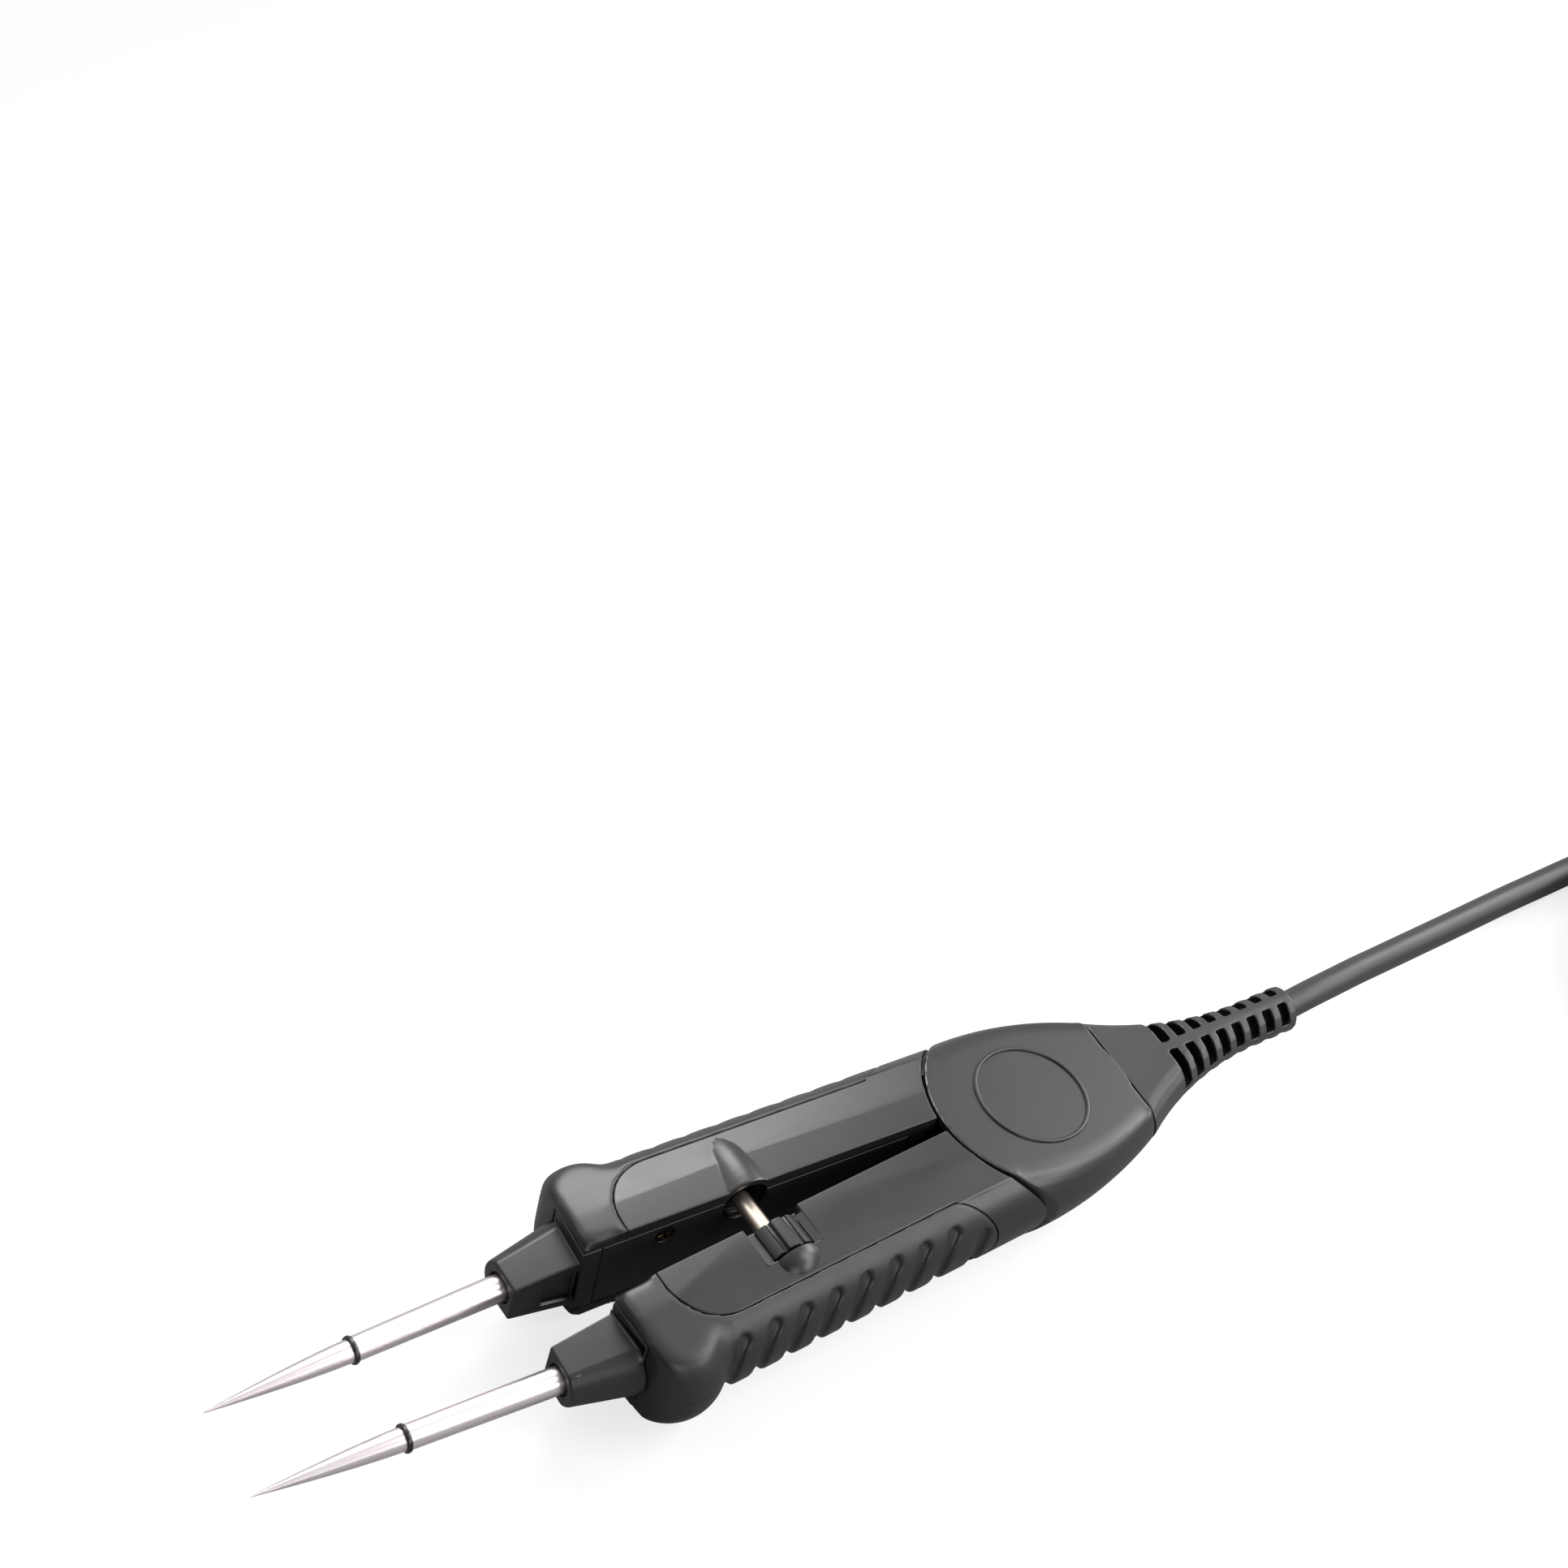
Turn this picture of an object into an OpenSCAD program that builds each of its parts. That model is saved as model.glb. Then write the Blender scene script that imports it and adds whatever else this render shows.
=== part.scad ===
// Soldering tweezers: two sprung arms on a hub, each carrying a heated tip cartridge,
// with a thumbwheel stop between the arms and a lead that ends in a screw-on connector.

/* [Arms] */
// Length of an arm from its pivot to its front face
arm_len = 90.4; // [84:0.1:98]
// Width of an arm from its inner face to its outer side
arm_w = 18; // [17:0.1:20]
// Height of an arm
arm_h = 21.6; // [21:0.1:24]
// Opening of each arm at rest, in degrees
open_angle = 2.9; // [2.6:0.05:3.4]
// Gap between the inner faces when the arms are parallel
face_gap = 0.6; // [0.5:0.1:1.2]
// Flat strip along the top, up to the crease
crease_v = 6.3; // [5:0.1:8]
// Slope of the facet beyond the crease, in degrees
facet_slope = 10; // [6:0.5:14]

/* [Grips] */
// Distance of the grip's front seam behind the front face
guard_len = 8; // [7:0.1:10]
// How far the finger guard stands out
guard_rise = 1.9; // [1:0.1:2.5]
// Height on the arm's width where the grip starts
grip_v = 12.4; // [11.5:0.1:14]
// Radius of the grip seam's front corner
grip_corner = 9.5; // [7:0.5:11]
// Radius of the grip's rear end
grip_end_r = 10; // [9.8:0.1:11]
// Distance from the pivot to the centre of the grip's rear end
grip_end = 31.4; // [28:0.1:36]
// Number of finger grooves on each grip
groove_count = 9; // [5:1:11]
// Distance from one finger groove to the next
groove_pitch = 6.25; // [5.5:0.05:6.5]
// Width of a finger groove
groove_w = 2.2; // [1.5:0.1:3]
// Depth of a finger groove
groove_depth = 0.9; // [0.5:0.1:1.2]
// Radius of the arc that a finger groove follows, seen from the side
groove_arc = 12.4; // [11.5:0.1:14]

/* [Hub] */
// Radius of the hub's round front
hub_r = 20; // [19:0.1:22]
// Length of the hub behind the disc's centre
hub_rear = 20; // [19:0.1:24]
// Half width of the hub at its rear end
hub_rear_w = 13; // [12:0.1:14]
// Height of the hub's top face above the middle plane, at the disc
hub_top = 7.6; // [7.4:0.1:9]
// Slope of the top and bottom faces towards the rear, in degrees
hub_slope = 8.6; // [7:0.1:9]
// Radius of the hub's rounded sides where they are fullest
hub_side_r = 11.6; // [11.2:0.1:12]
// Wall of the hub's shells
hub_wall = 2; // [1.6:0.1:2.2]
// Height of the joint between the two shells
hub_split = -2.5; // [-3:0.1:-2]
// Outer radius of the raised ring on the top
disc_r = 10.8; // [9:0.1:11.5]
// Gap of the seams between the hub, the arms and the strain relief
seam_gap = 0.6; // [0.5:0.05:0.8]

/* [Cartridges] */
// Length of a cartridge outside its nose
tip_reach = 54.3; // [48:0.1:60]
// Diameter of the sleeve
sleeve_d = 4.8; // [4:0.1:5]
// Distance of the joint ring from the nose
ring_at = 27.4; // [22:0.1:32]
// Tilt of a cartridge up from the arm, in degrees
tip_pitch = 3; // [0:0.1:4]
// Angle of a cartridge towards the other one, in degrees
tip_yaw = 4.5; // [4:0.05:4.5]
// Length of the nose in front of the arm
nose_len = 12.4; // [10:0.1:14]
// Distance of the cartridge from the inner face, at the nose
tip_v = 4.35; // [4.3:0.05:5]

/* [Adjuster] */
// Distance of the adjuster from the pivot
wheel_at = 59.4; // [56:0.1:62]
// Height of the adjuster's axis above the middle plane
wheel_z = 6.5; // [6:0.1:7]
// Diameter of the thumbwheel
wheel_d = 10.2; // [9:0.1:10.6]
// Diameter of the adjuster's screw
screw_d = 3.2; // [2.6:0.1:3.6]
// Radius of the bullet-shaped bosses
boss_r = 5.6; // [5.2:0.1:5.8]

/* [Lead] */
// Length of the strain relief
boot_len = 39.4; // [36:0.1:46]
// Radius of the strain relief's round end
boot_r = 4.3; // [4:0.1:4.5]
// Number of window rows along the strain relief
window_count = 8; // [4:1:8]
// Diameter of the lead
cord_d = 5.3; // [5:0.1:5.5]
// Diameter of the connector's coupling nut
nut_d = 13; // [12:0.1:15]

/* [Clearances] */
// Running clearance of pins and sliding fits, in radius
fit = 0.05; // [0.03:0.01:0.08]
// Clearance between parts that move past each other
clear = 0.35; // [0.3:0.05:0.4]
// Clearance of pressed parts, in radius
snug = 0.02; // [0.01:0.01:0.03]

/* [Hidden] */
$fn = 64;
plastic = "#4a4a4c";
rubber = "#3a3b3d";
steel = "#c9c9cc";
brass = "#b08a4a";
far = 200;

half_h = arm_h / 2;
pivot_x = 2;
pivot_y = 5.5;
inner_off = pivot_y - face_gap / 2;
nose_front = arm_len + nose_len;
seam_u = arm_len - guard_len;
round_r = arm_w - crease_v;
guard_bow = 9;
guard_at = 6;
guard_corner = 7.5;
guard_low = round_r + guard_rise - guard_bow;
guard_foot = sqrt(guard_bow * guard_bow - (round_r - guard_low) * (round_r - guard_low));

// Tongue inside the hub and its pivot
pin_r = 1.5;
lug_r = 4.6;
tongue_h = 8;
tongue_in = 0.4;
tongue_out = 9;
pin_half = tongue_h / 2 + 1.6;
spring_u = 14;
spring_depth = 5;
spring_r = 2.55;
spring_wire = 0.35;
spring_turns = 6;
spring_half = 5.3;

// The hub's sides are bodies of revolution that narrow along an arc to the rear end
hub_c = 0.5;
hub_wide = 19.2;
side_at = -10;
side_y = hub_wide - hub_side_r;
side_run = hub_rear - side_at;
side_drop = hub_wide - hub_rear_w;
side_bow = (side_run * side_run + side_drop * side_drop) / (2 * side_drop);
block = 120;
cavity_rear = hub_rear - 2.2;

// Inner cover, nose root and cartridge seat
cover_t = 1.2;
cover_half = 8;
cover_front = arm_len - 3.8;
cover_rear = 27;
core_rear = seam_u - grip_corner;
sleeve_r = sleeve_d / 2;
nose_r_front = 4.7;
nose_r_rear = 7;
nose_flat_front = 4.15;
nose_flat_rear = 6.3;
nose_inner = 0.35;
lip_len = 3;
socket_end = 24;
socket_r = sleeve_r + 1;
root_v = tip_v + socket_end * sin(tip_yaw) + socket_r + 0.5;
contact_end = 32;
contact_r = sleeve_r;
tail_r = 1;
wire_r = 0.9;
wire_way = wire_r + 0.2;
wire_exit = [-16, 11, 0];
cover_screw_u = 74.6;
cover_screw_w = 5.2;

// Adjuster, with the wheel held between the inner cover and the notch's back wall
thread_r = screw_d / 2;
notch_half = wheel_d / 2 + clear;
lip_t = 0.8;
wheel_v0 = lip_t + clear;
wheel_v1 = 7.3;
notch_v = wheel_v1 + clear;
screw_back = 9.4;
screw_front = 8.4;
screw_travel = 1;
guide_end = screw_back + screw_travel + clear;
boss_long = 14.5;
pocket_r = 3.4;
pocket_end = 10.8;
mouth_r = pocket_r + 0.9;

// Strain relief: round edges that follow arcs until they meet on the middle line
boot_x = hub_rear + seam_gap - 0.2;
boot_end = boot_x + boot_len;
boot_y = hub_rear_w - boot_r;
bow_r = 60;
bow_x = boot_x + sqrt(2 * boot_y * bow_r - boot_y * boot_y);
neck_y = 8.2;
neck_z = -hub_split;
flange_y = 9.4;
flange_t = 1.4;
window_w = 1.9;
window_first = boot_x + 11.5;
window_pitch = (boot_end - 2.6 - window_first) / (window_count - 1);
spine_half = 1;
core_r = cord_d / 2 + 0.3;

// Where the tip lies, and the shift that puts the origin under the middle of the tool
tip_u = -nose_front - tip_reach * cos(tip_pitch) * cos(tip_yaw);
tip_off = tip_v - tip_reach * cos(tip_pitch) * sin(tip_yaw) - inner_off;
tip_x = pivot_x + tip_u * cos(open_angle) + tip_off * sin(open_angle);
shift = [-(tip_x + boot_end) / 2, 0, half_h];

// Lead: its visible stretch, the coil that holds the rest and the connector's tail
cord_r = cord_d / 2;
lie = cord_r - half_h;
coil_r = 26.5;
coil_half = 1.55 * cord_d;
coil_h = 2.05 * cord_d;
tie_t = 0.6;
lead_y = 7;
beside = coil_r + coil_half + cord_r + clear;
coil_at = [157, lead_y - beside];
coil_top = tie_t + coil_h - half_h;
route = [
    [boot_end, 0, 0], [67, 0.5, 0], [73, 1, -0.4], [79, 1.6, -1], [86, 2.3, -2], [96, 3.3, -3.4],
    [106, 4.3, -4.8], [115, 5.2, -6], [124, 6, -7], [133, 6.5, -7.7], [142, 6.9, lie], [150, lead_y, lie],
    [coil_at[0], lead_y, lie]
];
// The tail lies on the coil and bends round a quarter circle to the connector
bend_r = 4 * cord_d;
bend_x = coil_at[0] + coil_r + 0.5 - bend_r;
plug_z = coil_top + nut_d / 2;
plug_x = bend_x - 3.8;
tail_y = coil_at[1] - bend_r;
tail_z = coil_top + cord_r + 0.05;
tail_route = concat(
    [for (a = [0 : 15 : 90])
        [bend_x + bend_r * cos(a), coil_at[1] - bend_r * sin(a),
         tail_z + (plug_z - tail_z) * (1 - cos(2 * a)) / 2]],
    [[plug_x, tail_y, plug_z]]
);
plug_boot_len = 16;
plug_body_len = 9;
plug_body_r = 4;
nut_len = 11;
nut_back = 2;
nut_bore = 4.8;

// Profile drawn in y and z, pulled along x from the origin
module along_x(length) {
    rotate([90, 0, 90]) linear_extrude(length) children();
}

// Profile drawn in x and z, pulled both ways along y
module across_y(width) {
    rotate([90, 0, 0]) linear_extrude(width, center = true) children();
}

// Cylinder along x
module rod(r, x0, x1) {
    translate([x0, 0, 0]) rotate([0, 90, 0]) cylinder(r = r, h = x1 - x0);
}

// Cylinder between two points
module rod_between(p, q, r) {
    d = q - p;
    translate(p)
        rotate([0, acos(d[2] / norm(d)), atan2(d[1], d[0])])
            cylinder(r = r, h = norm(d));
}

function unit(v) = v / norm(v);
function heading(pts, i) = unit(pts[min(i + 1, len(pts) - 1)] - pts[max(i - 1, 0)]);

// Tube swept along a list of points, each ring square to the path
module tube(pts, r, sides, up = [0, 0, 1]) {
    rings = [for (i = [0 : len(pts) - 1])
        let (t = heading(pts, i), a = unit(cross(up, t)), b = cross(t, a))
        for (k = [0 : sides - 1])
            pts[i] + r * (cos(360 * k / sides) * a + sin(360 * k / sides) * b)];
    last = (len(pts) - 1) * sides;
    walls = [for (i = [0 : len(pts) - 2], k = [0 : sides - 1])
        let (n = (k + 1) % sides)
        [i * sides + k, (i + 1) * sides + k, (i + 1) * sides + n, i * sides + n]];
    caps = [[for (k = [0 : sides - 1]) k], [for (k = [sides - 1 : -1 : 0]) last + k]];
    polyhedron(rings, concat(walls, caps));
}

// Frames: the whole tool, one arm and one cartridge
module in_place() {
    translate(shift) children();
}

module left_arm() {
    in_place()
        translate([pivot_x, pivot_y, 0])
            rotate([0, 0, -open_angle])
                translate([0, -inner_off, 0])
                    children();
}

module right_arm() {
    mirror([0, 1, 0]) left_arm() children();
}

// What belongs to the tool, seen from an arm
module from_tool() {
    translate([0, inner_off, 0])
        rotate([0, 0, open_angle])
            translate([-pivot_x, -pivot_y, 0])
                children();
}

// Origin at the nose's face, tip towards -x
module cartridge_frame() {
    translate([-nose_front, tip_v, 0]) rotate([0, tip_pitch, tip_yaw]) children();
}

// Solid of revolution on the cartridge's axis, drawn as radius and distance towards the tip
module turned() {
    rotate([0, -90, 0]) rotate_extrude() children();
}

// Adjuster's axis, pointing out through the arm
module adjuster_frame() {
    translate([-wheel_at, 0, wheel_z]) rotate([-90, 0, 0]) children();
}

// Arm

// Section of an arm: flat inner face, flat strip, facet and a round outer side
module arm_section(grow = 0) {
    out = arm_w + grow + 1;
    drop = (out - crease_v) * tan(facet_slope);
    intersection() {
        polygon([[0, -half_h], [crease_v, -half_h], [out, drop - half_h],
                 [out, half_h - drop], [crease_v, half_h], [0, half_h]]);
        translate([crease_v, 0]) circle(r = arm_w - crease_v + grow, $fn = 96);
    }
    translate([0, -half_h]) square([crease_v, arm_h]);
}

// Room taken by the hub and its seam
module hub_side() {
    from_tool() {
        translate([hub_c, 0, 0]) cylinder(r = hub_r + seam_gap, h = far, center = true, $fn = 128);
        translate([hub_c, -far / 2, -far / 2]) cube(far);
    }
}

module arm_blank() {
    difference() {
        translate([-arm_len, 0, 0]) along_x(arm_len) arm_section();
        hub_side();
    }
}

// Region in which the arm is soft grip and not hard shell
module grip_zone() {
    intersection() {
        linear_extrude(far, center = true)
            difference() {
                translate([-arm_len - 1, -1]) square([arm_len, arm_w + guard_rise + 2]);
                translate([grip_corner - seam_u, -2]) square([far, grip_v + 2]);
                translate([-seam_u, -2]) square([far, grip_v - grip_corner + 2]);
                translate([grip_corner - seam_u, grip_v - grip_corner]) circle(r = grip_corner);
            }
        across_y(far)
            union() {
                translate([-arm_len - 2, -far / 2]) square([arm_len + 2 - grip_end, far]);
                translate([-grip_end, 0]) circle(r = grip_end_r);
            }
    }
}

// Form of the grip: round like the arm, swelling into the finger guard, with a rounded front corner
module grip_form() {
    side = arm_w + guard_rise + 0.5;
    intersection() {
        translate([-arm_len, 0, 0]) along_x(arm_len) arm_section(guard_rise + 2);
        translate([guard_at - arm_len, crease_v, 0])
            rotate([0, 90, 0])
                rotate_extrude()
                    intersection() {
                        translate([0, -guard_at]) square([block, block]);
                        union() {
                            translate([guard_low, 0]) circle(r = guard_bow);
                            translate([0, -guard_bow]) square([guard_low, 2 * guard_bow]);
                            square([round_r, block]);
                        }
                    }
        linear_extrude(block, center = true) {
            translate([-arm_len, -1]) square([arm_len, side - guard_corner + 1]);
            translate([guard_corner - arm_len, -1]) square([arm_len, side + 1]);
            translate([guard_corner - arm_len, side - guard_corner]) circle(r = guard_corner);
        }
    }
}

// Hard core that the guard is moulded round
module core_block(u0, u1) {
    translate([-u0, 0, -cover_half]) cube([u0 - u1, root_v, 2 * cover_half]);
}

// Seen from the side each groove is a crescent with a round upper end, cut to an even depth
module finger_grooves() {
    top = half_h - 2.1;
    mid = -2;
    first = seam_u - 7.8;
    difference() {
        for (i = [0 : groove_count - 1]) {
            u = i * groove_pitch - first;
            past = max(u + grip_end, 0);
            end = min(top, sqrt(max(grip_end_r * grip_end_r - past * past, 16)) - 4);
            ahead = sqrt(groove_arc * groove_arc - (end - mid) * (end - mid));
            translate([u, 0, 0])
                across_y(block) {
                    intersection() {
                        translate([ahead, mid])
                            difference() {
                                circle(r = groove_arc + groove_w / 2);
                                circle(r = groove_arc - groove_w / 2);
                            }
                        translate([ahead, mid])
                            polygon([[0, 0], 3 * [-ahead, end - mid], [-3 * groove_arc, 0],
                                     [-2 * groove_arc, -block], [0, -block]]);
                    }
                    translate([0, end]) circle(r = groove_w / 2 + 0.08);
                }
        }
        translate([-block, crease_v, 0]) rod(round_r - groove_depth, 0, 2 * block);
        translate([guard_at + guard_foot - arm_len - block, -block / 2, -block / 2]) cube(block);
    }
}

module grip() {
    color(rubber)
        difference() {
            intersection() {
                grip_form();
                grip_zone();
            }
            hub_side();
            core_block(arm_len + 1, core_rear);
            finger_grooves();
        }
}

// Tongue that reaches into the hub, with the round lug of the pivot
module tongue() {
    translate([0, 0, -tongue_h / 2])
        linear_extrude(tongue_h) {
            translate([-24, tongue_in]) square([24, tongue_out - tongue_in]);
            translate([0, inner_off]) circle(r = lug_r);
        }
}

// Bullet-shaped boss over the adjuster's axis, drawn as half an ellipse and turned
module bullet() {
    adjuster_frame()
        rotate_extrude()
            polygon(concat([[0, 0]], [for (a = [0 : 7.5 : 90]) [boss_r * cos(a), boss_long * sin(a)]]));
}

module contact_rear() {
    cartridge_frame() rod(contact_r + snug, socket_end - 0.5, contact_end);
}

function cartridge_point(x) = [
    x * cos(tip_pitch) * cos(tip_yaw) - nose_front,
    x * cos(tip_pitch) * sin(tip_yaw) + tip_v,
    -x * sin(tip_pitch)
];

module shell_core() {
    difference() {
        union() {
            difference() {
                arm_blank();
                grip_zone();
            }
            difference() {
                bullet();
                grip_zone();
                translate([-far / 2, -far, -far / 2]) cube([far, far, far]);
            }
            core_block(cover_front, core_rear);
            tongue();
        }
        translate([-cover_front, -1, -cover_half])
            cube([cover_front - cover_rear, cover_t + 1, 2 * cover_half]);
        cartridge_frame() rod(socket_r + snug, 0, socket_end);
        contact_rear();
        rod_between(cartridge_point(contact_end - 1), wire_exit, wire_way);
        translate([0, inner_off, 0]) cylinder(r = pin_r + fit, h = far, center = true);
        translate([-spring_u, -1, 0]) rotate([-90, 0, 0])
            cylinder(r = spring_r + clear + 0.1, h = 1 + tongue_in + spring_depth);
        translate([-cover_screw_u, -1, cover_screw_w]) rotate([-90, 0, 0])
            cylinder(r = 0.8, h = 1 + cover_t + 4);
    }
}

module left_arm_shell() {
    color(plastic)
        left_arm()
            difference() {
                shell_core();
                adjuster_frame() translate([0, 0, -1]) cylinder(r = pocket_r, h = pocket_end + 1);
                adjuster_frame() translate([0, 0, -1]) cylinder(r = mouth_r, h = 1 + 2.2);
            }
}

module notch(depth) {
    translate([-wheel_at - notch_half, -1, wheel_z - notch_half])
        cube([2 * notch_half, depth + 1, far]);
}

module right_arm_shell() {
    color(plastic)
        right_arm()
            difference() {
                shell_core();
                notch(notch_v);
                adjuster_frame() cylinder(r = thread_r + fit, h = guide_end);
            }
}

module left_grip() {
    left_arm() grip();
}

module right_grip() {
    right_arm() grip();
}

module cover_plate() {
    difference() {
        translate([-cover_front, 0, -cover_half]) cube([cover_front - cover_rear, cover_t, 2 * cover_half]);
        translate([-cover_screw_u, -1, cover_screw_w]) rotate([-90, 0, 0]) cylinder(r = 0.9, h = far);
        translate([-cover_screw_u, 0.6, cover_screw_w]) rotate([90, 0, 0]) cylinder(r = 1.9, h = far);
    }
}

module left_inner_cover() {
    color(plastic)
        left_arm()
            difference() {
                cover_plate();
                adjuster_frame() translate([0, 0, -1]) cylinder(r = mouth_r, h = far);
            }
}

// The lower half of the wheel stays behind a thin lip of this cover
module right_inner_cover() {
    color(plastic)
        right_arm()
            difference() {
                cover_plate();
                translate([-wheel_at - notch_half, lip_t, wheel_z - notch_half])
                    cube([2 * notch_half, far, far]);
                adjuster_frame() translate([0, 0, -1]) cylinder(r = thread_r + clear, h = far);
                translate([-wheel_at - thread_r - clear, -1, wheel_z])
                    cube([2 * (thread_r + clear), far, far]);
            }
}

// Cross-head screw that holds the inner cover
module cover_screw() {
    color(brass)
        translate([-cover_screw_u, 0, cover_screw_w])
            rotate([-90, 0, 0])
                difference() {
                    union() {
                        translate([0, 0, 0.1]) cylinder(r = 1.8, h = 0.5);
                        translate([0, 0, 0.3]) cylinder(r = 0.8 - snug, h = cover_t + 3.5);
                    }
                    for (a = [0, 90])
                        rotate([0, 0, a]) translate([-1.2, -0.2, 0]) cube([2.4, 0.4, 0.35]);
                }
}

module left_cover_screw() {
    left_arm() cover_screw();
}

module right_cover_screw() {
    right_arm() cover_screw();
}

// Nose and cartridge seat

// Tapered nose with a round outer half, flats above and below and a flat inner side
module nose() {
    color(plastic)
        difference() {
            union() {
                intersection() {
                    cartridge_frame() {
                        rotate([0, 90, 0]) cylinder(r1 = nose_r_front, r2 = nose_r_rear, h = nose_len + 1);
                        translate([0, -tip_v / 2 - 1, 0])
                            across_y(tip_v + 2)
                                polygon([[0, -nose_r_front], [0, nose_r_front],
                                         [nose_len + 1, nose_r_rear], [nose_len + 1, -nose_r_rear]]);
                    }
                    cartridge_frame()
                        across_y(block)
                            polygon([[0, -nose_flat_front], [0, nose_flat_front],
                                     [nose_len + 1, nose_flat_rear], [nose_len + 1, -nose_flat_rear]]);
                    translate([-far, nose_inner, -far / 2]) cube([far - arm_len, far, far]);
                }
                core_block(arm_len, cover_front);
            }
            cartridge_frame() {
                rod(sleeve_r + fit, -1, lip_len + 1);
                rod(sleeve_r + 0.4, -1, 1);
                rod(socket_r + snug, lip_len, block);
            }
            nose_window();
        }
}

// Slanted window in the nose's inner side
module nose_window() {
    translate([0, nose_inner - 1, 0])
        rotate([90, 0, 0])
            mirror([0, 0, 1])
                linear_extrude(1.8)
                    polygon([[-nose_front + 6.2, -3.6], [-nose_front + 5.8, 2.6],
                             [-arm_len, 3.2], [-arm_len, -5]]);
}

module left_nose() {
    left_arm() nose();
}

module right_nose() {
    right_arm() nose();
}

module socket() {
    color(brass)
        cartridge_frame()
            difference() {
                rod(socket_r, lip_len, socket_end);
                rod(sleeve_r + fit, lip_len - 1, socket_end + 1);
            }
}

module left_socket() {
    left_arm() socket();
}

module right_socket() {
    right_arm() socket();
}

module contact() {
    color(brass)
        cartridge_frame()
            difference() {
                rod(contact_r, socket_end, contact_end);
                rod(tail_r + fit, socket_end - 1, socket_end + 5);
            }
}

module left_contact() {
    left_arm() contact();
}

module right_contact() {
    right_arm() contact();
}

module arm_wire() {
    color("firebrick") rod_between(cartridge_point(contact_end), wire_exit, wire_r);
}

module left_wire() {
    left_arm() arm_wire();
}

module right_wire() {
    right_arm() arm_wire();
}

// Cartridge: sleeve with its tail, the joint ring and the pointed tip

ring_w = 0.9;
ring_r = sleeve_r + 0.1;
waist_r = sleeve_r - 0.25;
tip_r = 0.12;

module cartridge_sleeve() {
    color(steel)
        cartridge_frame()
            turned()
                polygon([[0, -27], [tail_r, -27], [tail_r, -22], [sleeve_r, -22], [sleeve_r, 2],
                         [waist_r, ring_at], [0, ring_at]]);
}

module left_sleeve() {
    left_arm() cartridge_sleeve();
}

module right_sleeve() {
    right_arm() cartridge_sleeve();
}

module cartridge_ring() {
    color("dimgray")
        cartridge_frame()
            turned()
                polygon([[0, ring_at], [ring_r, ring_at], [ring_r, ring_at + ring_w], [0, ring_at + ring_w]]);
}

module left_ring() {
    left_arm() cartridge_ring();
}

module right_ring() {
    right_arm() cartridge_ring();
}

// The tip's side is a shallow curve that ends in a small round point
module cartridge_tip() {
    start = ring_at + ring_w;
    base_r = waist_r - 0.15;
    steps = 10;
    color(steel)
        cartridge_frame()
            turned()
                polygon(concat([[0, start]],
                    [for (i = [0 : steps]) let (t = i / steps)
                        [tip_r + (base_r - tip_r) * (1 - pow(t, 1.45)), start + t * (tip_reach - start)]],
                    [[0, tip_reach]]));
}

module left_tip() {
    left_arm() cartridge_tip();
}

module right_tip() {
    right_arm() cartridge_tip();
}

// Adjuster

// Fluted thumbwheel: broad lobes between pairs of narrow grooves
module thumbwheel() {
    lobes = 10;
    groove_r = 0.5;
    color(plastic)
        right_arm()
            adjuster_frame()
                translate([0, 0, wheel_v0])
                    linear_extrude(wheel_v1 - wheel_v0)
                        difference() {
                            circle(d = wheel_d);
                            circle(r = thread_r + fit);
                            for (i = [0 : lobes - 1])
                                rotate(i * 360 / lobes)
                                    translate([wheel_d / 2, 0]) circle(r = groove_r, $fn = 24);
                        }
}

module adjuster_screw() {
    color(steel)
        right_arm()
            adjuster_frame()
                rotate_extrude()
                    polygon([[0, -screw_front], [thread_r - 0.5, -screw_front], [thread_r, 0.5 - screw_front],
                             [thread_r, screw_back], [0, screw_back]]);
}

// Hub

// Outline of the hub from above: round in front, straight across behind
module hub_plan(inset) {
    translate([hub_c, 0]) circle(r = hub_r + 2 * inset);
    translate([hub_c, -block / 2]) square([hub_rear - hub_c + inset, block]);
}

// Round side of the hub, turned about an axis along x
module hub_side_form(inset) {
    translate([side_at, side_y, 0])
        rotate([0, 90, 0])
            rotate_extrude()
                intersection() {
                    translate([hub_side_r - side_bow, 0]) circle(r = side_bow - inset);
                    translate([0, -block / 2]) square([hub_side_r, block]);
                }
}

// Everything below a level face at height z
module below(z) {
    translate([-block / 2, -block / 2, z - block]) cube(block);
}

module below_top(inset) {
    translate([0, 0, hub_top - inset]) rotate([0, hub_slope, 0]) below(0);
}

module hub_solid(inset = 0) {
    intersection() {
        union() {
            hub_side_form(inset);
            mirror([0, 1, 0]) hub_side_form(inset);
            translate([-block / 2, -side_y, -block / 2]) cube([block, 2 * side_y, block]);
        }
        linear_extrude(block, center = true) hub_plan(inset);
        below_top(inset);
        mirror([0, 0, 1]) below_top(inset);
    }
}

// Inside of the hub, open towards the arms
module hub_cavity() {
    intersection() {
        hub_solid(hub_wall);
        translate([cavity_rear - block, -block / 2, -block / 2]) cube(block);
    }
}

screw_x = 14;
screw_y = 10;
screw_boss_r = 2;
boss_top = hub_top - 1.4;
screw_boss_half = hub_top - 3.2;

// Bosses over and under the lugs, and round the two screws
module hub_bosses() {
    low = tongue_h / 2 + clear;
    for (y = [-1, 1]) {
        for (z = [low, -boss_top])
            translate([pivot_x, y * pivot_y, z]) cylinder(r = pin_r + 1.2, h = boss_top - low);
        translate([screw_x, y * screw_y, -screw_boss_half])
            cylinder(r = screw_boss_r, h = 2 * screw_boss_half);
    }
}

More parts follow.
